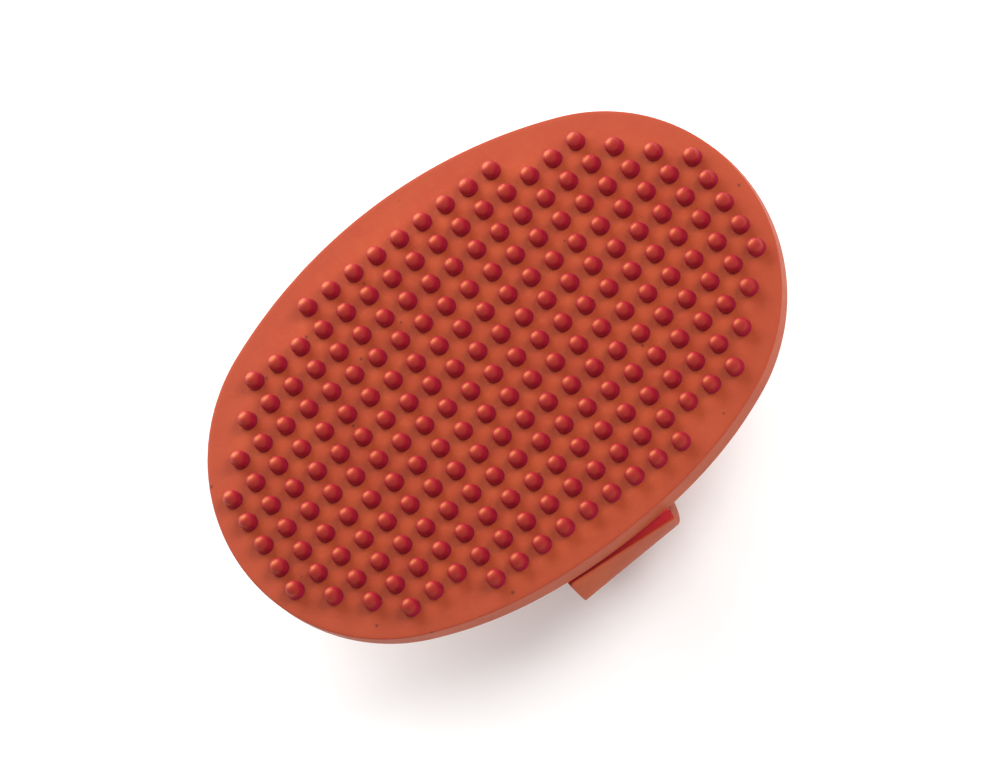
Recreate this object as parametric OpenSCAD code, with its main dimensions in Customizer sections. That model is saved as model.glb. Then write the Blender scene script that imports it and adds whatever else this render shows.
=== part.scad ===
// Oval rubber curry comb: a pad with rows of domed nubs on one side and an
// adjustable hand strap on the other. It lies on its strap, nubs up.
// The strap is two parts that lap: a long slotted strap from the front root
// and a short tab with studs from the back root.

/* [Pad] */
// Length of the oval pad
pad_l = 134; // [110:1:165]
// Width of the oval pad
pad_w = 91; // [75:1:112]
// How much smaller the radius of the rounded ends is than half the pad's width
end_ease = 5.5; // [3:0.5:10]
// Thickness of the sheet that carries the nubs
plate_t = 4; // [2.5:0.5:6]
// Depth of the wall below the sheet, at the middle of the long sides
rim_depth = 3; // [3:0.5:8]
// How much the wall loses of that depth towards the ends
rim_rise = 2.5; // [0:0.1:2.9]
// Thickness of the wall
rim_t = 5; // [3:0.5:8]

/* [Nubs] */
// Number of rows along the pad
nub_rows = 13; // [9:2:13]
// Diameter of a nub
nub_d = 3.8; // [3:0.1:5]
// Height of a nub
nub_h = 3.7; // [3:0.1:7]
// From the pad's long side to the centres of the outermost row
row_margin = 9.3; // [6:0.1:14]
// From the pad's end to the tip of the ellipse that holds the centres
field_end_gap = 1.6; // [1:0.1:6]
// From the pad's long side to the side of that ellipse
field_side_gap = 5.7; // [4:0.1:8]

/* [Strap] */
// Width of the strap
strap_w = 26; // [20:1:34]
// Thickness of the strap
strap_t = 3; // [2:0.1:4]
// From the back edge of the wall down to the underside of the strap
strap_drop = 28.3; // [24:0.1:36]
// Outer radius of the bend between the strap's side and its flat run
bend_r = 24.6; // [18:0.1:24.6]
// How far the strap's outer face stands proud of the pad's long side
strap_proud = 0.5; // [0.4:0.1:2]
// Thickness of the roots that hold the strap under the wall
root_t = 6; // [4:0.5:8]
// Radius of the strap's free corners
corner_r = 5; // [2:0.5:10]
// Gap between the lapped parts and at the bending lines
lap_gap = 0.3; // [0.2:0.05:0.5]
// From the middle of the pad to the free tip of the slotted strap
strap_reach = 22; // [20:0.5:24]
// From the middle of the pad to the free tip of the stud tab
tab_reach = 0; // [-2:0.5:0.5]

/* [Closure] */
// Diameter of a stud's stem
stud_d = 3.6; // [3:0.1:4]
// Diameter of a stud's head
stud_head_d = 4.4; // [4:0.1:5]
// Number of slots in the strap
slot_count = 4; // [2:1:4]
// Distance between slots
slot_pitch = 10; // [9:0.5:10.5]
// Place of the outermost slot's stud, from the middle of the pad
stud_y = 14; // [13.5:0.5:15]
// Clearance beside a stud's head
side_play = 0.4; // [0.3:0.1:0.8]
// Clearance at the root end of a slot, for the tab to press in
press_play = 1; // [0.9:0.1:1.2]
// Clearance at the tip end of a slot, for the strap to swing out
swing_play = 1.7; // [1.6:0.1:1.9]

/* [Hidden] */
$fn = 64;
eps = 0.01;
row_names = [for (r = [1 : nub_rows]) str("nub_row_", r < 10 ? "0" : "", r)];

// Heights, from the underside of the strap up
back_z = strap_drop;
plate_z = back_z + rim_depth;
face_z = plate_z + plate_t;
tab_z = strap_t + lap_gap;

// The oval is four arcs that meet tangent: two ends and two long sides
half_l = pad_l / 2;
half_w = pad_w / 2;
end_r = half_w - end_ease;
side_r = (half_l * half_l - 2 * half_l * end_r + half_w * half_w) / (2 * (half_w - end_r));

// The wall's back edge is an arc, seen from the long side
rise_r = half_l * half_l / (2 * max(rim_rise, eps));
rise_steps = 24;

// Nub grid
half_rows = (nub_rows - 1) / 2;
pitch = (half_w - row_margin) / half_rows;
field_a = half_l - field_end_gap;
field_b = half_w - field_side_gap;

// Strap
face_y = half_w + strap_proud;
bend_z = back_z - (strap_drop - bend_r);
tab_bend_r = bend_z - tab_z;
tab_start_y = face_y - tab_bend_r;
tab_hinge_z = tab_z + strap_t / 2;
knuckle_r = strap_t / 2 + 0.5;

// Studs reach down through the slotted strap, and stop short of its underside
stud_tip_z = 0.2;
stud_tip_r = 1.2;
studs = [stud_y, stud_y - slot_pitch];
slot_w = stud_head_d + 2 * side_play;

// The pad's outline, taken in by inset
module oval(inset = 0) {
    a = half_l - inset;
    b = half_w - inset;
    er = end_r - inset;
    sr = side_r - inset;
    union() {
        for (s = [-1, 1]) translate([s * (a - er), 0]) circle(r = er, $fn = 128);
        intersection() {
            translate([0, b - sr]) circle(r = sr, $fn = 256);
            translate([0, sr - b]) circle(r = sr, $fn = 256);
            square([2 * meet_at(inset), 2 * b], center = true);
        }
    }
}

// Where the end arc and the side arc of that outline meet, along X
function meet_at(inset) =
    (half_l - end_r) * (side_r - inset) / (side_r - end_r);

// Height of the wall's back edge at x
function edge_z(x) = back_z + rise_r - sqrt(rise_r * rise_r - x * x);

// Everything above the wall's back edge, up to the sheet
module above_edge() {
    rotate([90, 0, 0]) linear_extrude(2 * pad_w, center = true) polygon(concat(
        [[half_l, plate_z], [-half_l, plate_z]],
        [for (k = [-rise_steps : rise_steps]) let (x = k * half_l / rise_steps) [x, edge_z(x)]]
    ));
}

module face_plate() {
    color([0.78, 0.33, 0.2]) translate([0, 0, plate_z]) linear_extrude(plate_t) oval();
}

module rim_wall() {
    color([0.66, 0.37, 0.29]) intersection() {
        translate([0, 0, back_z - 1]) linear_extrude(rim_depth + 1) difference() {
            oval();
            oval(rim_t);
        }
        above_edge();
    }
}

// Round post with a half-round top
module nub() {
    r = nub_d / 2;
    rotate_extrude() intersection() {
        union() {
            square([r, nub_h - r]);
            translate([0, nub_h - r]) circle(r);
        }
        square([r, nub_h]);
    }
}

// One row along X: as many nubs as the ellipse holds at this row's place
module nub_row(r) {
    row_y = (r - 1 - half_rows) * pitch;
    half_count = floor(field_a * sqrt(1 - pow(row_y / field_b, 2)) / pitch);
    color([0.65, 0.13, 0.17]) for (i = [-half_count : half_count])
        translate([i * pitch, row_y, face_z]) nub();
}

// A profile in Y and Z, drawn across the strap's width
module across(w = strap_w) {
    translate([-w / 2, 0, 0]) rotate([90, 0, 90]) linear_extrude(w) children();
}

// Quarter ring from the strap's side to its flat run, opening towards +Y
module quarter_bend(outer_r) {
    intersection() {
        difference() {
            circle(r = outer_r);
            circle(r = outer_r - strap_t);
        }
        translate([-outer_r, -outer_r]) square(outer_r);
    }
}

// Lug under the wall, flush with the strap's outer face, on the front side
module root_lug() {
    color([0.66, 0.37, 0.29]) difference() {
        across() translate([-face_y, bend_z]) square([root_t, back_z - bend_z + 1]);
        above_edge();
    }
}

module front_root() {
    root_lug();
}

module back_root() {
    mirror([0, 1, 0]) root_lug();
}

// Plan of a strap from y0 to its free end at y1, whose corners are rounded
module strap_plan(y0, y1) {
    w = strap_w;
    union() {
        translate([-w / 2, y0]) square([w, y1 - corner_r - y0]);
        translate([-w / 2 + corner_r, y0]) square([w - 2 * corner_r, y1 - y0]);
        for (s = [-1, 1]) translate([s * (w / 2 - corner_r), y1 - corner_r]) circle(r = corner_r);
    }
}

// Slot around a stud at y: round ends, longer towards the strap's tip
module slot_at(y) {
    y0 = y - stud_head_d / 2 - press_play + slot_w / 2;
    y1 = y + stud_head_d / 2 + swing_play - slot_w / 2;
    union() {
        for (c = [y0, y1]) translate([0, c]) circle(d = slot_w);
        translate([-slot_w / 2, y0]) square([slot_w, y1 - y0]);
    }
}

module slot_strap() {
    color([0.72, 0.3, 0.2]) difference() {
        intersection() {
            across() union() {
                intersection() {
                    translate([bend_r - face_y, bend_z]) quarter_bend(bend_r);
                    translate([-face_y, 0]) square([bend_r, bend_z - lap_gap]);
                }
                translate([bend_r - face_y, 0]) square([strap_reach + face_y - bend_r, strap_t]);
            }
            linear_extrude(bend_z) strap_plan(-face_y - 1, strap_reach);
        }
        for (k = [0 : slot_count - 1]) translate([0, 0, -1])
            linear_extrude(strap_t + 2) slot_at(stud_y - k * slot_pitch);
    }
}

// Curved part under the back root, up to the line where the tab bends
module back_bend() {
    color([0.66, 0.37, 0.29]) mirror([0, 1, 0]) across() difference() {
        translate([-tab_start_y, bend_z]) quarter_bend(tab_bend_r);
        translate([-tab_start_y, tab_hinge_z]) circle(r = knuckle_r);
    }
}

module stud_tab() {
    color([0.72, 0.3, 0.2]) union() {
        translate([0, 0, tab_z]) linear_extrude(strap_t) mirror([0, 1])
            strap_plan(-tab_start_y, -tab_reach);
        across() translate([tab_start_y, tab_hinge_z]) circle(d = strap_t);
    }
}

// A stud under the tab: stem, rounded head, tapered tip
module stud() {
    head_r = stud_head_d / 2;
    rotate_extrude() polygon([
        [0, stud_tip_z], [stud_tip_r, stud_tip_z], [head_r, stud_tip_z + 0.9],
        [head_r, stud_tip_z + 1.5], [stud_d / 2, stud_tip_z + 2.1], [stud_d / 2, tab_z], [0, tab_z]
    ]);
}

module strap_studs() {
    color([0.65, 0.13, 0.17]) for (y = studs) translate([0, y, 0]) stud();
}

face_plate();
rim_wall();
for (r = [1 : nub_rows]) nub_row(r);
front_root();
slot_strap();
back_root();
back_bend();
stud_tab();
strap_studs();
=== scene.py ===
import bmesh
import bpy
import numpy as np
from mathutils import Matrix, Vector


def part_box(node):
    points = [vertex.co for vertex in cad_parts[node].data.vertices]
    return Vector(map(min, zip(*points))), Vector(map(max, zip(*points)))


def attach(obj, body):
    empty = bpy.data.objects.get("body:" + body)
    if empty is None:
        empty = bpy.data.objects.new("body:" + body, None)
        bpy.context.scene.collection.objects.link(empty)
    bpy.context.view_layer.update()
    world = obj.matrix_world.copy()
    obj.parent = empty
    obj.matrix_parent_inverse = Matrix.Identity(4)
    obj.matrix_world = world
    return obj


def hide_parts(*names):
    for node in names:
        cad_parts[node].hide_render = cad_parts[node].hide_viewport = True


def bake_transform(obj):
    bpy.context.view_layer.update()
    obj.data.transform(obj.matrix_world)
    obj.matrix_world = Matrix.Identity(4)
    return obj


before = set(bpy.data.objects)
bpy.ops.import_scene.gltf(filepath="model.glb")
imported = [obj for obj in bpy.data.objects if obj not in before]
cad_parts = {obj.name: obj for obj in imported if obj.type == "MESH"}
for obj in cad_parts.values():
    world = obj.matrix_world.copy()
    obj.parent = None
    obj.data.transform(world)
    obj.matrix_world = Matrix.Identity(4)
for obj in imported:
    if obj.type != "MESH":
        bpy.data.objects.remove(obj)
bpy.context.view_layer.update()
mm = 0.001


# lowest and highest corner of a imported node, in millimetres
def boxOf(node):
    return np.array(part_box(node)) / mm


stage = {
    "floorColour": (0.86, 0.86, 0.85),
    "floorShade": (0.85, 0.85, 0.845),   # the floor is faintly clouded with this
    "floorCloud": 400,
    "floorRough": 0.7,
    "floorSize": 8000,
    "floorGap": 0.2,       # a hair of air under the strap
    "contact": (1.5, 2.5),               # what lies nearer than this gets light through the floor
    "worldColour": (1.0, 1.0, 1.0),
    "worldStrength": 0.66,
}

# soft boxes: towards is where each stands, along the camera's right, up and back
lights = {
    "key_light": {"towards": (0.42, 0.56, 0.75), "distance": 900, "size": 500, "power": 6.8},
    "window_light": {
        "towards": (-0.675, 0.72, -0.05), "distance": 700, "size": 900, "power": 17,
        "mirrored": True,                # the only one that the gloss shows
    },
    "fill_light": {"towards": (0.55, -0.70, 0.30), "distance": 1000, "size": 900, "power": 5.5},
}
camera = {
    "azimuth": 18.7,       # round the pad from the strap's side, degrees
    "elevation": 71.8,
    "roll": -54.5,         # so that the pad lies slantwise
    "distance": 2500,
    "lens": 430,
    "right": 1.23,         # how far the aim lies from the middle of the face
    "down": 1.2,
    "nearest": 100,
    "farthest": 50000,
}


# axes of a camera: its right, its up and the way back from what it looks at
def cameraAxes(azimuth, elevation, roll):
    a, e, r = np.radians([azimuth, elevation, roll])
    back = np.array([np.sin(a) * np.cos(e), -np.cos(a) * np.cos(e), np.sin(e)])
    level = np.array([np.cos(a), np.sin(a), 0])
    rise = np.cross(back, level)
    right = np.cos(r) * level + np.sin(r) * rise
    return right, np.cross(back, right), back


# the camera looks at the middle of the face, which lies a little off the view's own middle
def placeCamera():
    right, up, back = cameraAxes(camera["azimuth"], camera["elevation"], camera["roll"])
    middle = np.array([0, 0, boxOf("face_plate")[1, 2]])
    aim = middle + camera["right"] * right - camera["down"] * up
    data = bpy.data.cameras.new("camera")
    data.lens = camera["lens"]
    data.clip_start, data.clip_end = camera["nearest"] * mm, camera["farthest"] * mm
    made = bpy.data.objects.new("camera", data)
    turn = Matrix(np.stack([right, up, back], 1).tolist()).to_4x4()
    made.matrix_world = Matrix.Translation(Vector((aim + camera["distance"] * back) * mm)) @ turn
    bpy.context.scene.collection.objects.link(made)
    bpy.context.scene.camera = made
    return right, up, back


# a soft box that shines at the pad from a direction given along the camera's axes
def softBox(name, axes, towards, distance, size, power, mirrored=False):
    way = Vector(sum(t * a for t, a in zip(towards, axes))).normalized()
    data = bpy.data.lights.new(name, "AREA")
    data.shape = "DISK"
    data.size = size * mm
    data.energy = power
    made = bpy.data.objects.new(name, data)
    made.visible_glossy = mirrored
    turn = way.to_track_quat("Z", "Y").to_matrix().to_4x4()
    made.matrix_world = Matrix.Translation(way * distance * mm) @ turn
    bpy.context.scene.collection.objects.link(made)


# one output of a node; sums on it add Math nodes to its tree
class Wire:
    def __init__(self, finish, socket):
        self.finish, self.socket = finish, socket

    def maths(self, operation, *others):
        feeds = dict(enumerate(others))
        return self.finish.node("Math", {"operation": operation}, feeds)

    def __add__(self, other):
        return self.maths("ADD", self, other)

    def __sub__(self, other):
        return self.maths("SUBTRACT", self, other)

    def __rsub__(self, other):
        return self.maths("SUBTRACT", other, self)

    def __mul__(self, other):
        return self.maths("MULTIPLY", self, other)

    __radd__ = __add__
    __rmul__ = __mul__


# a material and the nodes in it
class Finish:
    def __init__(self, name):
        self.material = bpy.data.materials.new(name)
        self.material.use_nodes = True
        self.tree = self.material.node_tree
        self.tree.nodes.clear()

    # any node: its type, its settings, then values or links for its sockets
    def node(self, kind, settings=None, feeds=None, output=0):
        made = self.tree.nodes.new("ShaderNode" + kind)
        for name, value in (settings or {}).items():
            setattr(made, name, value)
        for name, value in (feeds or {}).items():
            if isinstance(value, Wire):
                self.tree.links.new(value.socket, made.inputs[name])
            else:
                made.inputs[name].default_value = value
        return Wire(self, made.outputs[output])

    # 0 to 1 as value goes from low to high
    def between(self, value, low, high):
        feeds = {"Value": value, "From Min": low, "From Max": high}
        return self.node("MapRange", {"interpolation_type": "SMOOTHSTEP"}, feeds)

    # clouds of about this size
    def noise(self, place, size, detail=3, roughness=0.55):
        feeds = {"Vector": place, "Scale": 1 / (size * mm), "Detail": detail, "Roughness": roughness}
        return self.node("TexNoise", {"noise_dimensions": "3D"}, feeds)

    # distance to the nearest of many scattered points, as a share of their gap
    def cells(self, place, gap):
        return self.node("TexVoronoi", {"feature": "F1"}, {"Vector": place, "Scale": 1 / (gap * mm)})

    # a colour that goes to another as share goes from 0 to 1
    def mixed(self, share, colour, other):
        first, second = [(*c, 1) if isinstance(c, tuple) else c for c in (colour, other)]
        return self.node("Mix", {"data_type": "RGBA"}, {0: share, 6: first, 7: second}, output=2)

    # dents as deep as this where the height falls from 1 to 0
    def bump(self, height, depth):
        return self.node("Bump", {}, {"Height": height, "Distance": depth * mm, "Strength": 1.0})

    # how far a piece's own attribute of this name has gone, 0 to 1
    def share(self, name):
        return self.node("Attribute", {"attribute_name": name}, {}, output=2)

    # ends the material in a shader with these socket values
    def shade(self, feeds):
        return self.endIn(self.node("BsdfPrincipled", {}, feeds))

    def endIn(self, shader):
        ending = self.tree.nodes.new("ShaderNodeOutputMaterial")
        self.tree.links.new(shader.socket, ending.inputs["Surface"])
        return self.material


rubber = {
    "face": (0.365, 0.055, 0.017),
    "faceDark": (0.325, 0.042, 0.015),
    "facePale": (0.41, 0.078, 0.026),
    "marginShade": (0.285, 0.042, 0.016),     # painted shade: the face darkens towards its edge
    "dirt": (0.07, 0.02, 0.012),
    "side": (0.33, 0.060, 0.019),        # painted sheen: the wall and the strap get a duller, less saturated copy of the face colour
    "sideSheenDark": (0.29, 0.048, 0.015),
    "sideSheenPale": (0.38, 0.085, 0.034),
    # painted shade: the crimson of shadowed creases, in the groove under the wall and along the face's edge
    "creaseShade": (0.48, 0.015, 0.034),
    "nub": (0.24, 0.004, 0.019),
    # painted shade: the purple-crimson that the nub's lower part takes
    "nubFootShade": (0.26, 0.003, 0.050),
    "nubWorn": (0.27, 0.020, 0.018),
}
# a size is in millimetres, limits are where a pattern starts and ends, the rest are shares
mattSurface = {
    "cloudSize": 9,
    "cloudLimits": (0.3, 0.7),
    "mottleSize": 2.2,
    "mottleLimits": (0.45, 0.8),
    "mottleShare": 0.5,
    "scuffSize": 6,
    "scuffTurn": 0.6,      # radians
    "scuffStretch": 9,     # times as long as wide
    "scuffLimits": (0.60, 0.74),
    "scuffShare": 0.25,
    "speckGap": 7,         # from one speck of dirt to the next
    "speckLimits": (0.035, 0.07),
    "speckShare": 0.7,
    "marginShadeShare": 0.8,
    "creaseShadeShare": 0.9,
    "roughness": 0.50,
    "mottleRoughness": 0.14,
    "scuffRoughness": 0.10,
    "grainSize": 0.35,
    "poreSize": 0.55,
    "poreLimits": (0.0, 0.35),
    "grainHigh": 0.5,
    "poreHigh": 0.25,
    "mottleHigh": 0.6,
    "relief": 0.06,
    "gloss": 0.22,
}
nubSurface = {
    "cloudSize": 5,
    "grainSize": 0.5,
    "footLimits": (0.0, 0.55),           # up the nub
    "footShadeShare": 0.9,
    "tipLimits": (0.95, 1.2),
    "tipCloud": 0.25,
    "tipShare": 0.5,
    "roughness": 0.44,
    "cloudRoughness": 0.10,
    "grainHigh": 0.6,
    "relief": 0.03,
    "gloss": 0.8,
    "glossTint": (1.0, 0.58, 0.06, 1.0),
}


# place on a piece: the object's own coordinates, or the unbent strap's
def placeOn(finish, attribute=None):
    if attribute:
        return finish.node("Attribute", {"attribute_name": attribute}, {}, output=1)
    return finish.node("TexCoord", {}, {}, output=3)


# matt moulded rubber: clouded colour, a fine grain, a few specks of dirt and light scuffs;
# the duller side colour is painted sheen where the attribute "side" is 1, and painted crimson shade lies in
# creases and painted shade along the face's margin
def mattRubber(name, attribute=None):
    f, own = Finish(name), mattSurface
    place = placeOn(f, attribute)
    clouds = f.noise(place, own["cloudSize"], 4)
    mottle = f.noise(place, own["mottleSize"], 4, 0.6)
    grain = f.noise(place, own["grainSize"], 2)
    pores = f.cells(place, own["poreSize"])
    turn, stretch = (0, 0, own["scuffTurn"]), (1, own["scuffStretch"], 1)
    stretched = f.node("Mapping", {}, {"Vector": place, "Rotation": turn, "Scale": stretch})
    scuffs = f.between(f.noise(stretched, own["scuffSize"], 5, 0.7), *own["scuffLimits"])
    dirt = 1 - f.between(f.cells(place, own["speckGap"]), *own["speckLimits"])
    sideSheenShare, creaseShadeShare, marginShade = f.share("side"), f.share("creaseShade"), f.share("marginShade")

    dark = f.mixed(sideSheenShare, rubber["faceDark"], rubber["sideSheenDark"])
    middle = f.mixed(sideSheenShare, rubber["face"], rubber["side"])
    pale = f.mixed(sideSheenShare, rubber["facePale"], rubber["sideSheenPale"])
    colour = f.mixed(f.between(clouds, *own["cloudLimits"]), dark, middle)
    colour = f.mixed(f.between(mottle, *own["mottleLimits"]) * own["mottleShare"], colour, pale)
    colour = f.mixed(scuffs * own["scuffShare"], colour, pale)
    colour = f.mixed(marginShade * (1 - sideSheenShare) * own["marginShadeShare"], colour, rubber["marginShade"])
    colour = f.mixed(creaseShadeShare * own["creaseShadeShare"], colour, rubber["creaseShade"])
    colour = f.mixed(dirt * own["speckShare"], colour, rubber["dirt"])
    rough = own["roughness"] + own["mottleRoughness"] * mottle + own["scuffRoughness"] * scuffs
    height = grain * own["grainHigh"] + f.between(pores, *own["poreLimits"]) * own["poreHigh"]
    height = height + mottle * own["mottleHigh"]
    return f.shade({
        "Base Color": colour,
        "Roughness": rough,
        "Normal": f.bump(height, own["relief"]),
        "Specular IOR Level": own["gloss"],
    })


# glossy nub rubber: painted shade darkens it towards the foot; it is a little worn and paler on the tip
def nubRubber(name):
    f, own = Finish(name), nubSurface
    place = placeOn(f)
    rise = f.share("rise")
    clouds = f.noise(place, own["cloudSize"])
    grain = f.noise(place, own["grainSize"])
    # painted shade round each nub's foot
    foot = 1 - f.between(rise, *own["footLimits"])
    tip = f.between(rise + own["tipCloud"] * clouds, *own["tipLimits"])
    colour = f.mixed(foot * own["footShadeShare"], rubber["nub"], rubber["nubFootShade"])
    colour = f.mixed(tip * own["tipShare"], colour, rubber["nubWorn"])
    return f.shade({
        "Base Color": colour,
        "Roughness": own["roughness"] + own["cloudRoughness"] * clouds,
        "Normal": f.bump(grain * own["grainHigh"] + clouds, own["relief"]),
        "Specular IOR Level": own["gloss"],
        "Specular Tint": own["glossTint"],
    })


# a pale matt floor, clear from under and clear to the light under what lies on it
def floorFinish():
    f = Finish("pale_floor")
    place = placeOn(f)
    cloud = f.noise(place, stage["floorCloud"], 2)
    colour = f.mixed(cloud, stage["floorShade"], stage["floorColour"])
    shader = f.node("BsdfPrincipled", {}, {"Base Color": colour, "Roughness": stage["floorRough"]})
    clear = f.node("BsdfTransparent")
    below = f.node("NewGeometry", output="Backfacing")
    reach = f.node("LightPath", output="Ray Length")
    near, far = stage["contact"]
    touching = 1 - f.between(reach, near * mm, far * mm)
    hidden = f.node("Math", {"operation": "MAXIMUM"}, {0: below, 1: touching})
    return f.endIn(f.node("MixShader", {}, {0: hidden, 1: shader, 2: clear}))


# a mesh object from points in millimetres and a list of face arrays, smooth all over
def newPiece(name, points, faces, material):
    mesh = bpy.data.meshes.new(name)
    corners = [corner for some in faces for corner in some.tolist()]
    mesh.from_pydata((points * mm).tolist(), [], corners)
    mesh.shade_smooth()
    mesh.materials.append(material)
    made = bpy.data.objects.new(name, mesh)
    bpy.context.scene.collection.objects.link(made)
    return made


# a number from 0 to 1 at each point, which the piece's material reads by name
def addShare(piece, name, values):
    share = piece.data.attributes.new(name, "FLOAT", "POINT")
    share.data.foreach_set("value", np.asarray(values, np.float32).ravel())


# quads between neighbouring rows of a grid of points, whose columns may run round and close
def gridQuads(rows, columns, closed=True):
    r = np.arange(rows - 1)[:, None]
    c = np.arange(columns if closed else columns - 1)[None, :]
    after = (c + 1) % columns
    corners = [r * columns + c, (r + 1) * columns + c, (r + 1) * columns + after, r * columns + after]
    return np.stack(np.broadcast_arrays(*corners), -1).reshape(-1, 4)


# rings of a turned shape: radii and heights spun round the Z axis
def turned(radii, heights, sides):
    turn = 2 * np.pi * np.arange(sides) / sides
    x, y = radii[:, None] * np.cos(turn), radii[:, None] * np.sin(turn)
    return np.stack(np.broadcast_arrays(x, y, heights[:, None]), -1)


# the same points and faces at each of several centres
def repeated(points, faces, centres):
    step = (np.arange(len(centres)) * points.shape[-2])[:, None, None]
    places = (points + centres[:, None]).reshape(-1, 3)
    return places, [(some[None] + step).reshape(-1, some.shape[1]) for some in faces]


# rings of points joined one to the next, from the top down, with one point closing each end
def lofted(rings):
    count, around = rings.shape[:2]
    here = np.arange(around)
    after = (here + 1) % around
    last = (count - 1) * around
    top = np.stack([np.full(around, count * around), here, after], 1)
    bottom = np.stack([np.full(around, count * around + 1), after + last, here + last], 1)
    points = np.concatenate([rings.reshape(-1, 3), rings[:1].mean(1), rings[-1:].mean(1)])
    return points, [gridQuads(count, around), top, bottom]


plateLow, plateHigh = boxOf("face_plate")
rimLow = boxOf("rim_wall")[0]

pad = {
    "endEase": 5.5,        # how much the end radius is less than half the width
    "rimRise": 2.5,        # how much the wall's back edge rises towards the ends
    "rimThick": 5,
    "around": 384,         # points round the oval
    "sideRows": 7,         # rings down the wall
    "roundRows": 5,        # and round each edge
    "faceRings": (0.03, 0.2, 0.4, 0.6, 0.78, 0.9, 0.97, 1.0),
    "edgeFlat": 0.8,       # the flat just inside each outer rounding
    "edgeRound": 0.3,      # the crisp edge round the face
    "draft": 0.12,         # the wall leans out by this much from the face down
    "lipRound": 0.45,
    "innerRound": 0.8,     # inside the wall, and at most this share of its depth
    "innerShare": 0.3,
    "fillet": 1.4,         # where the wall meets the sheet, and at most this share
    "filletShare": 0.45,
    "filletFoot": 0.25,    # how much further in the wall is at its foot
    "backFlat": 2.2,
    "lipFlat": 0.6,
    "sideStart": 0.2,      # how much of the wall's painted sheen colour the edge has
    "sideFade": 0.6,
    "marginFrom": 0.8,     # the margin's painted shade starts at this share of the way out
    "edgeCrease": 0.15,    # how much of the creases' crimson painted shade the face's edge has
    "shift": -0.25,        # the moulding lies a little off its drawn oval, towards one end
    "backOut": 0.3,        # its back side bows out by this much
    "frontIn": 0.8,        # and its front side is flattened by this much
    "frontReach": 38,      # as far as this on each side of the strap
}
halfLength, halfWidth = plateHigh[0], plateHigh[1]
faceZ, sheetZ, backZ = plateHigh[2], plateLow[2], rimLow[2]
endRadius = halfWidth - pad["endEase"]
sideRadius = (halfLength**2 - 2 * halfLength * endRadius + halfWidth**2) / (2 * pad["endEase"])


# the four-arc oval, taken in by inset, at shares of the way round:
# each arc's centre plus its radius times the outward direction
def ovalPoint(share, inset):
    meet = np.arctan2(sideRadius - halfWidth, halfLength - endRadius)
    turns = np.array([0, meet, np.pi - meet, np.pi + meet, 2 * np.pi - meet, 2 * np.pi])
    radii = np.array([endRadius, sideRadius, endRadius, sideRadius, endRadius])
    way = np.concatenate([[0], np.cumsum(np.diff(turns) * radii)])
    angle = np.interp(share % 1 * way[-1], way, turns)
    out = np.stack([np.cos(angle), np.sin(angle)], -1)
    atEnd = np.abs(out[..., 0]) > np.cos(meet)
    middle = np.where(atEnd[..., None], [halfLength - endRadius, 0], [0, halfWidth - sideRadius])
    radius = np.where(atEnd, endRadius, sideRadius)
    return middle * np.sign(out) + (radius - inset)[..., None] * out


# the same points as the moulding has them: its back side bowed out, its front side flattened
def settled(flat):
    x, out = flat[:, 0], flat[:, 1] / halfWidth
    front = pad["frontIn"] * np.clip(1 - (x / pad["frontReach"])**2, 0, 1)**2
    push = np.where(out > 0, pad["backOut"] * out, -front * out)
    return np.column_stack([x + pad["shift"], flat[:, 1] + push])


# height of the wall's back edge at x: an arc that rises towards the ends
def backEdge(x):
    radius = halfLength**2 / (2 * pad["rimRise"])
    return backZ + radius - np.sqrt(radius**2 - x**2)


# quarter of a circle in steps: how far along and how far across, both 0 to 1
def quarter(steps):
    turn = np.linspace(0, np.pi / 2, steps)
    return np.sin(turn), 1 - np.cos(turn)


# rings from the middle of the face out, over the edge, down the wall, under it, up inside
# it and across the back of the sheet; each ring is an inset of the oval with its height
def padRings():
    share = np.arange(pad["around"]) / pad["around"]
    edge, lip, draft = pad["edgeRound"], pad["lipRound"], pad["draft"]
    along, across = quarter(pad["roundRows"])
    start = ovalPoint(share, np.zeros_like(share))
    low = backEdge(start[:, 0])
    depth = sheetZ - low
    inner = np.minimum(pad["innerRound"], pad["innerShare"] * depth)
    fillet = np.minimum(pad["fillet"], pad["filletShare"] * depth)
    rows = []

    def add(inset, height, scale=1.0):
        inset = np.broadcast_to(inset, share.shape)
        flat = settled(ovalPoint(share, inset) * scale)
        rows.append(np.column_stack([flat, np.broadcast_to(height, share.shape)]))

    for scale in pad["faceRings"]:
        add(draft + edge + pad["edgeFlat"], faceZ, scale)
    for a, b in zip(along, across):
        add(draft + edge * (1 - a), faceZ - edge * b)
    top, bottom = faceZ - edge, low + lip
    for part in np.linspace(0, 1, pad["sideRows"])[1:]:
        add(draft * (1 - part), top + (bottom - top) * part)
    for a, b in zip(along[1:], across[1:]):
        add(lip * b, bottom - lip * a)
    thick = pad["rimThick"]
    add(lip + pad["edgeFlat"], low)
    add(thick - pad["lipFlat"] - inner, low)
    for a, b in zip(along, across):
        add(thick - inner * (1 - a), low + inner * b)
    for a, b in zip(along, across):
        add(thick + pad["filletFoot"] + fillet * b, sheetZ - fillet * (1 - a))
    for scale in pad["faceRings"][::-1]:
        add(thick + pad["backFlat"] + fillet, sheetZ, scale)
    return np.stack(rows)


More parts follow.
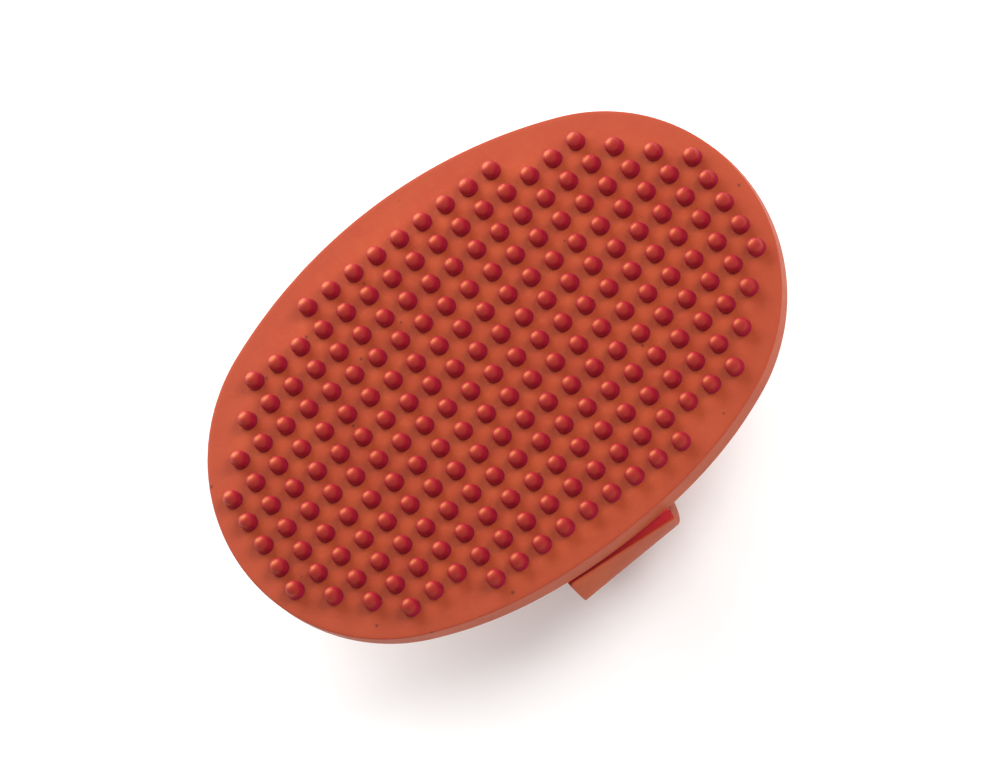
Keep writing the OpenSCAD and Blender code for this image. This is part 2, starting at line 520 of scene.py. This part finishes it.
# the pad's skin, and where its painted light goes: the wall's sheen colour, the margin's shade and the
# edge's crimson shade
def makePad(material):
    points, faces = lofted(padRings())
    made = newPiece("pad_body", points, faces, material)
    x, y, z = points.T
    outward = np.sqrt((x / halfLength)**2 + (y / halfWidth)**2)
    down = (faceZ - z) / pad["edgeRound"]        # 0 on the face, 1 where its rounded edge ends
    belowEdge = faceZ - pad["edgeRound"] - z
    # painted sheen: the wall below the face's rounded edge takes the duller side colour
    addShare(made, "side", np.clip(belowEdge / pad["sideFade"] + pad["sideStart"], 0, 1))
    # painted shade: darker towards the face's edge
    addShare(made, "marginShade", np.clip((outward - pad["marginFrom"]) / (1 - pad["marginFrom"]), 0, 1))
    # painted shade: a thin crimson line round the face's rounded edge
    addShare(made, "creaseShade", pad["edgeCrease"] * down * (down < 1.01))
    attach(made, "pad")
    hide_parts("face_plate", "rim_wall")
    return made


nub = {
    "sides": 14,
    "domeRings": (22, 45, 68, 90),       # degrees down from the tip
    "flare": 0.1,          # the foot spreads this much wider
    "flareHigh": 0.3,
    "taper": 0.06,
    "sink": 0.12,          # how far the foot goes into the face
    "lean": 0.018,         # most sideways lean, as a slope
    "uneven": 0.012,       # most that a nub is shorter, as a share
    "seed": 7,
}


# rings of one nub from its tip down: a half-round dome, a slightly tapered post, a flared foot
def nubRings(radius, high):
    dome = np.radians(nub["domeRings"])
    r = np.concatenate([(radius - nub["taper"]) * np.sin(dome), [radius, radius + nub["flare"], radius]])
    post = high - radius
    z = np.concatenate([post + radius * np.cos(dome), [nub["flareHigh"], 0, -nub["sink"]]])
    return turned(r, z, nub["sides"])


# one row of nubs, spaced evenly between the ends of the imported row
def makeNubRow(name, random, pitch, material):
    low, high = boxOf(name)
    wide, tall = high[1] - low[1], high[2] - low[2]
    count = round((high[0] - low[0] - wide) / pitch) + 1
    points, faces = lofted(nubRings(wide / 2, tall))
    points[-2, 2] = tall
    centres = np.zeros((count, 3))
    centres[:, 0] = np.linspace(low[0] + wide / 2, high[0] - wide / 2, count)
    centres[:, 1] = (low[1] + high[1]) / 2
    centres[:, 2] = faceZ
    lean = random.uniform(-nub["lean"], nub["lean"], (count, 1, 2))
    shapes = np.repeat(points[None], count, 0)
    rise = np.clip(shapes[:, :, 2:] / tall, 0, 1)
    shapes[:, :, :2] += lean * shapes[:, :, 2:]
    shapes[:, :, 2:] *= 1 - nub["uneven"] * random.random((count, 1, 1))
    made = newPiece(name.replace("row", "strip"), *repeated(shapes, faces, centres), material)
    addShare(made, "rise", rise)
    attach(made, "pad")
    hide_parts(name)


# every packed row, each with its own small unevenness
def makeNubs(material):
    random = np.random.default_rng(nub["seed"])
    rows = sorted(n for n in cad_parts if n.startswith("nub_row"))
    centres = [boxOf(n)[:, 1].mean() for n in rows]
    pitch = (centres[-1] - centres[0]) / (len(rows) - 1)
    for name in rows:
        makeNubRow(name, random, pitch, material)


strap = {
    "thick": 3,
    "rootThick": 6,        # at the wall, fading to the strap's own thickness
    "rootFade": 5,
    "rootSwell": 1.15,     # the fade runs on past the wall by this much
    "rootLean": 1.0,       # there its sides draw in by this much towards the inner side
    "leanFade": 14,
    "cornerRound": 5,
    "edgeRound": 0.4,
    "rowStep": 1.1,
    "columns": (0, 0.16, 0.32, 0.5, 0.7, 0.86, 0.955, 1),   # across half the width
    "edgeTurns": (30, 60, 90, 90, 120, 150),                # degrees round a side edge
    "cornerRows": 9,
    "tipRows": 5,
    "leastStep": (0.2, 0.05),            # rows any nearer the last slot or the tip are left out
    "swingBend": (1.2, -2.2),            # a span from here to here, up from the joint, round the root's bend; worked out but not used to bend anything
    "tabBend": 5,          # and a span this long on each side of the tab's joint; also worked out but not used
}
# the groove between wall and strap: as the way goes on, how far below the wall the skin
# lies and how far in from its own line, and how far below the wall the inner side lies
groove = {
    "way": (-5, -3.6, -2.6, -0.5, 0.1, 0.45, 1.0, 8.0),
    "skinDown": (-0.7, 0.9, 1.15, 0.6, 0.3, 0.4, 1.0, 8.0),
    "skinIn": (2.0, 1.9, 1.6, 0.5, 0.2, 0.04, 0, 0),
    "innerDown": (-0.7, 0.3, 1.2, 3.4, 4.0, 4.4, 4.8, 8.0),
    "floorEnd": (-2.6, -0.5),            # up to here the groove's floor stays in line with the wall
    "creaseEnd": -0.2,     # the groove's crimson painted shade fades out here
    "creaseFade": 0.5,
    "creaseDeep": 2.9,     # and goes this far in on the root's two end faces
    "edgeEnd": 1.3,        # up to here the ledge keeps the face's brighter colour; the strap's painted sheen starts past it
    "edgeFade": 0.6,
}
slots = {
    "count": 4,
    "pitch": 10,
    "wide": 5.2,
    "shortEnd": 3.2,       # from the stud's middle to the slot's end on the root side
    "longEnd": 3.9,        # and to the end on the tip side
    "edgeRound": 0.35,
    "collar": 0.8,
    "rows": 10,            # steps along the stretch of strap round one slot
    "roundRows": 5,
}
# the front strap sits a little askew: at these heights its one side stands out by so much
# and the other in, all of it stands out, each side draws in, and it lies sideways by so much
skew = {
    "height": (2, 20, 28),
    "outAtSide": (0, -0.7, 1.0),
    "out": (0, 0.8, -0.4),
    "drawnIn": (0, 0.4, -0.3),
    "sideways": (0, -0.6, 0),
}
stud = {
    "wide": 3.6,
    "head": 4.4,
    "headRound": 0.75,
    "headMiddle": 1.25,    # above the tip
    "headTurns": (-90, -60, -30, 0, 30, 60),                # degrees down its round edge
    "rootDown": (0, 0.35, 0.7, 0.9),     # the foot's rings, down from the tab
    "rootWider": (0.5, 0.15, 0, 0),      # and how much wider than the stem they are
    "tipWide": (1.1, 0.6),
    "tipUp": (0.08, 0),
    "sides": 28,
    "sink": 0.3,
}


# shares from -1 to 1 across the strap
def acrossShares():
    half = np.array(strap["columns"])
    return np.concatenate([-half[:0:-1], half])


# round a side edge from the skin to the inner side: how far past the flat, and how deep
def sideEdge():
    edge = strap["edgeRound"]
    turn = np.radians(strap["edgeTurns"])
    inner = np.arange(len(turn)) >= len(turn) / 2
    fromFlat = edge * (1 - np.abs(np.cos(turn)))
    return edge * np.sin(turn), np.where(inner, strap["thick"] - fromFlat, fromFlat)


# plain stretches: rows of closed sections, each point as across, along and deep
def plainRows(rows, shape):
    flat = acrossShares() * (shape["halfWidth"] - strap["edgeRound"])
    past, edgeDeep = sideEdge()
    side = flat[-1] + past
    x = np.concatenate([flat, side, flat[::-1], -side[::-1]])
    deep = np.concatenate([0 * flat, edgeDeep, 0 * flat + strap["thick"], edgeDeep[::-1]])
    return np.stack(np.broadcast_arrays(x, rows[:, None], deep), -1)


# a stretch with a slot: rings from the skin's rim in to the slot, down through it and out
# along the inner side; the slot's outline is a circle whose two halves are drawn apart
def slotStretch(start, shape):
    half = slots["pitch"] / 2
    flat = shape["halfWidth"] - strap["edgeRound"]
    along = np.linspace(-1, 1, slots["rows"] + 1)
    across = acrossShares()
    up, over = np.ones(slots["rows"]), np.ones(len(across) - 1)
    rimX = np.concatenate([up, across[:0:-1], -up, across[:-1]])
    rimS = np.concatenate([along[:-1], over, along[:0:-1], -over])
    turn = np.arctan2(rimS, rimX)
    apart = (slots["shortEnd"] + slots["longEnd"] - slots["wide"]) / 2
    rim = np.stack([rimX * flat, rimS * half], -1)

    def outline(off):
        radius = slots["wide"] / 2 + off
        return np.stack([radius * np.cos(turn), apart * np.sign(np.sin(turn)) + radius * np.sin(turn)], -1)

    collar = outline(slots["collar"])
    edge = slots["edgeRound"]
    sines, falls = quarter(slots["roundRows"])
    rings = [(rim, 0), ((rim + collar) / 2, 0), (collar, 0)]
    rings += [(outline(edge * (1 - a)), edge * b) for a, b in zip(sines, falls)]
    rings += [(ring, strap["thick"] - deep) for ring, deep in rings[::-1]]
    points = np.stack([np.column_stack([ring, np.full(len(ring), deep)]) for ring, deep in rings])
    points[:, :, 1] += start + half

    past, edgeDeep = sideEdge()
    sideX = flat + np.concatenate([[0], past, [0]])
    sideDeep = np.concatenate([[0], edgeDeep, [strap["thick"]]])
    rows = (start + half + along * half)[:, None]
    sides = [np.stack(np.broadcast_arrays(sign * sideX, rows, sideDeep), -1) for sign in (1, -1)]
    return points, sides


# the whole strap in plan: plain rows, slotted stretches, rounded tip, all welded
def strapPlan(shape):
    length, edge, corner = shape["length"], strap["edgeRound"], strap["cornerRound"]
    toTip = length - corner * (1 - quarter(strap["cornerRows"])[0])
    lastRows = length - edge * (1 - quarter(strap["tipRows"])[0])
    pastSlots, beforeTip = strap["leastStep"]
    plainEnd = shape["slotsFrom"] if shape["slots"] else length - corner
    steps = int((plainEnd - groove["way"][-2]) / strap["rowStep"])
    first = np.concatenate([groove["way"][:-2], np.linspace(groove["way"][-2], plainEnd, steps)])
    slotsEnd = plainEnd + shape["slots"] * slots["pitch"]
    inCorner = toTip[(toTip > slotsEnd + pastSlots) & (toTip < lastRows[0] - beforeTip)]
    tip = np.concatenate([[slotsEnd], inCorner, lastRows])

    grids = [(plainRows(first, shape), True), (plainRows(tip, shape), True)]
    for k in range(shape["slots"]):
        rings, sides = slotStretch(plainEnd + k * slots["pitch"], shape)
        grids += [(rings, True)] + [(side, False) for side in sides]
    points, faces, start = [], [], 0
    for grid, closed in grids:
        faces.append(gridQuads(*grid.shape[:2], closed) + start)
        points.append(grid.reshape(-1, 3))
        start += len(points[-1])
    around = grids[0][0].shape[1]
    firstCap = np.arange(around)
    lastCap = firstCap + len(points[0]) + len(points[1]) - around
    points = np.concatenate(points)
    welded, number = np.unique(points.round(4), axis=0, return_inverse=True)
    number = number.ravel()
    caps = [firstCap[None], lastCap[None]]
    return welded, [number[some] for some in faces + caps]


# the strap's skin at way s below the wall: straight down, round a quarter bend, then flat;
# gives the place on the skin and the direction into the rubber, both in Y and Z
def skinAt(s, shape):
    drop, radius = shape["rootZ"] - shape["bendZ"], shape["radius"]
    turn = np.clip((s - drop) / radius, 0, np.pi / 2)
    y = -shape["faceY"] + radius * (1 - np.cos(turn)) + np.maximum(s - drop - radius * np.pi / 2, 0)
    z = shape["rootZ"] - np.minimum(s, drop) - radius * np.sin(turn)
    return np.stack([y, z], -1), np.stack([np.cos(turn), np.sin(turn)], -1)


# bends the plan to its place: a point lies between the skin and the inner side by its share
# of the thickness, and the width narrows round the free corners
def bendStrap(plan, shape):
    x, way, deep = plan.T
    thick, edge, corner = strap["thick"], strap["edgeRound"], strap["cornerRound"]
    past = np.clip(way - (shape["length"] - corner), 0, corner)
    x = x * (1 - (corner - np.sqrt(corner**2 - past**2)) / shape["halfWidth"])
    share = np.clip((way - (shape["length"] - edge)) / edge, 0, 1)
    deep = thick / 2 + (deep - thick / 2) * (1 - 2 * edge * (1 - np.sqrt(1 - share**2)) / thick)

    far = (*groove["way"], shape["length"])
    skinDown = np.interp(way, far, (*groove["skinDown"], shape["length"]))
    innerDown = np.interp(way, far, (*groove["innerDown"], shape["length"]))
    skinIn = np.interp(way, far, (*groove["skinIn"], 0))[:, None]
    fade = np.clip(1 - innerDown / strap["rootFade"], 0, strap["rootSwell"])[:, None]
    innerThick = thick + (strap["rootThick"] - thick) * fade**2
    skin, into = skinAt(skinDown, shape)
    skin = skin + into * skinIn
    inner, into = skinAt(innerDown, shape)
    inner = inner + into * innerThick
    y, z = (skin + (inner - skin) * (deep / thick)[:, None]).T
    lean = strap["rootLean"] * np.clip(1 - way / strap["leanFade"], 0, 1)
    x = x * (1 - lean * deep / thick / shape["halfWidth"])
    if shape["side"] > 0:
        kinds = ("outAtSide", "out", "drawnIn", "sideways")
        askew, out, drawnIn, sideways = [np.interp(z, skew["height"], skew[kind]) for kind in kinds]
        floorFrom, floorTo = groove["floorEnd"]
        ledge = np.clip((way - floorFrom) / (floorTo - floorFrom), 0, 1)
        y = y - ledge * (askew * x / shape["halfWidth"] + out)
        x = x * (1 - drawnIn / shape["halfWidth"]) + sideways
    return np.stack([x, shape["side"] * y, z], -1)


# welded pieces get their faces turned outwards once more
def turnOutwards(piece):
    work = bmesh.new()
    work.from_mesh(piece.data)
    bmesh.ops.recalc_face_normals(work, faces=work.faces)
    work.to_mesh(piece.data)
    work.free()


# one strap, with its flat plan kept as an attribute for the material to follow
def makeStrap(name, shape, material):
    plan, faces = strapPlan(shape)
    made = newPiece(name, bendStrap(plan, shape), faces, material)
    flat = made.data.attributes.new("unbent", "FLOAT_VECTOR", "POINT")
    flat.data.foreach_set("vector", (plan * mm).astype(np.float32).ravel())
    way, deep = plan[:, 1], plan[:, 2]
    outside = deep < groove["creaseDeep"]
    # painted sheen: the strap past its ledge takes the duller side colour
    addShare(made, "side", np.clip((way - groove["edgeEnd"]) / groove["edgeFade"], 0, 1))
    # painted shade: the groove's crimson on the strap's outside
    addShare(made, "creaseShade", np.clip((groove["creaseEnd"] - way) / groove["creaseFade"], 0, 1) * outside)
    turnOutwards(made)
    return made


# the straps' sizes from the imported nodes: side is 1 where the strap starts at the front
def strapShape(root, flatNode, reach, side, count):
    low, high = boxOf(root)
    flatLow, flatHigh = boxOf(flatNode)
    radius = low[2] - flatLow[2]
    faceY = max(-low[1], high[1])
    length = backZ - low[2] + radius * np.pi / 2 + faceY - radius + reach
    return {
        "halfWidth": flatHigh[0],
        "faceY": faceY,
        "rootZ": backZ,
        "bendZ": low[2],
        "radius": radius,
        "side": side,
        "length": length,
        "slots": count,
    }


# both straps: the slots are spaced back from the outermost stud, each a little off its stud
def makeHandStrap(material):
    reach = boxOf("slot_strap")[1, 1]
    front = strapShape("front_root", "slot_strap", reach, 1, slots["count"])
    outermost = boxOf("strap_studs")[1, 1] - stud["head"] / 2
    firstStud = outermost - (slots["count"] - 1) * slots["pitch"]
    stretchMiddle = (slots["longEnd"] - slots["shortEnd"]) / 2
    front["slotsFrom"] = front["length"] - reach + firstStud + stretchMiddle - slots["pitch"] / 2
    made = makeStrap("slotted_strap", front, material)
    start, end = [(0, -front["faceY"] * mm, (front["bendZ"] + up) * mm) for up in strap["swingBend"]]
    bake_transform(made)
    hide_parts("front_root", "slot_strap")

    back = strapShape("back_root", "stud_tab", boxOf("stud_tab")[0, 1] * -1, -1, 0)
    made = makeStrap("stud_strap", back, material)
    bendY = back["faceY"] - back["radius"]
    height = boxOf("stud_tab")[:, 2].mean()
    start, end = [(0, (bendY + along) * mm, height * mm) for along in (strap["tabBend"], -strap["tabBend"])]
    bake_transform(made)
    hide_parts("back_root", "back_bend", "stud_tab")


# turned studs under the tab: a flared root, a stem, a round-edged head and a blunt tip
def makeStuds(material):
    low, high = boxOf("strap_studs")
    head, stem = stud["head"] / 2, stud["wide"] / 2
    top, tip = high[2], low[2]
    turn = np.radians(stud["headTurns"])
    headR = head - stud["headRound"] * (1 - np.cos(turn))
    headZ = tip + stud["headMiddle"] - stud["headRound"] * np.sin(turn)
    rootR, rootZ = stem + np.array(stud["rootWider"]), top - np.array(stud["rootDown"])
    r = np.concatenate([rootR[:1], rootR, headR, stud["tipWide"]])
    z = np.concatenate([[top + stud["sink"]], rootZ, headZ, tip + np.array(stud["tipUp"])])
    points, faces = lofted(turned(r, z, stud["sides"]))
    centres = np.array([[0, low[1] + head, 0], [0, high[1] - head, 0]])
    made = newPiece("studs", *repeated(points, faces, centres), material)
    turnOutwards(made)
    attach(made, "stud_tab")
    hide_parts("strap_studs")


bpy.context.scene.view_settings.view_transform = "Standard"   # keeps the rubber's strong colour
axes = placeCamera()
print("camera placed")
faceFinish = mattRubber("face_rubber")
strapFinish = mattRubber("strap_rubber", "unbent")
nubFinish = nubRubber("nub_rubber")
makePad(faceFinish)
makeNubs(nubFinish)
print("pad and nubs made")
makeHandStrap(strapFinish)
makeStuds(faceFinish)
print("hand strap made")

for name, light in lights.items():
    softBox(name, axes, **light)
world = bpy.data.worlds.new("pale_world")
world.use_nodes = True
world.node_tree.nodes["Background"].inputs["Color"].default_value = (*stage["worldColour"], 1)
world.node_tree.nodes["Background"].inputs["Strength"].default_value = stage["worldStrength"]
bpy.context.scene.world = world

side, down = stage["floorSize"] / 2, -stage["floorGap"]
corners = np.array([[-side, -side, down], [side, -side, down], [side, side, down], [-side, side, down]])
floor = newPiece("floor", corners, [np.array([[0, 1, 2, 3]])], floorFinish())
print("lights and floor placed")
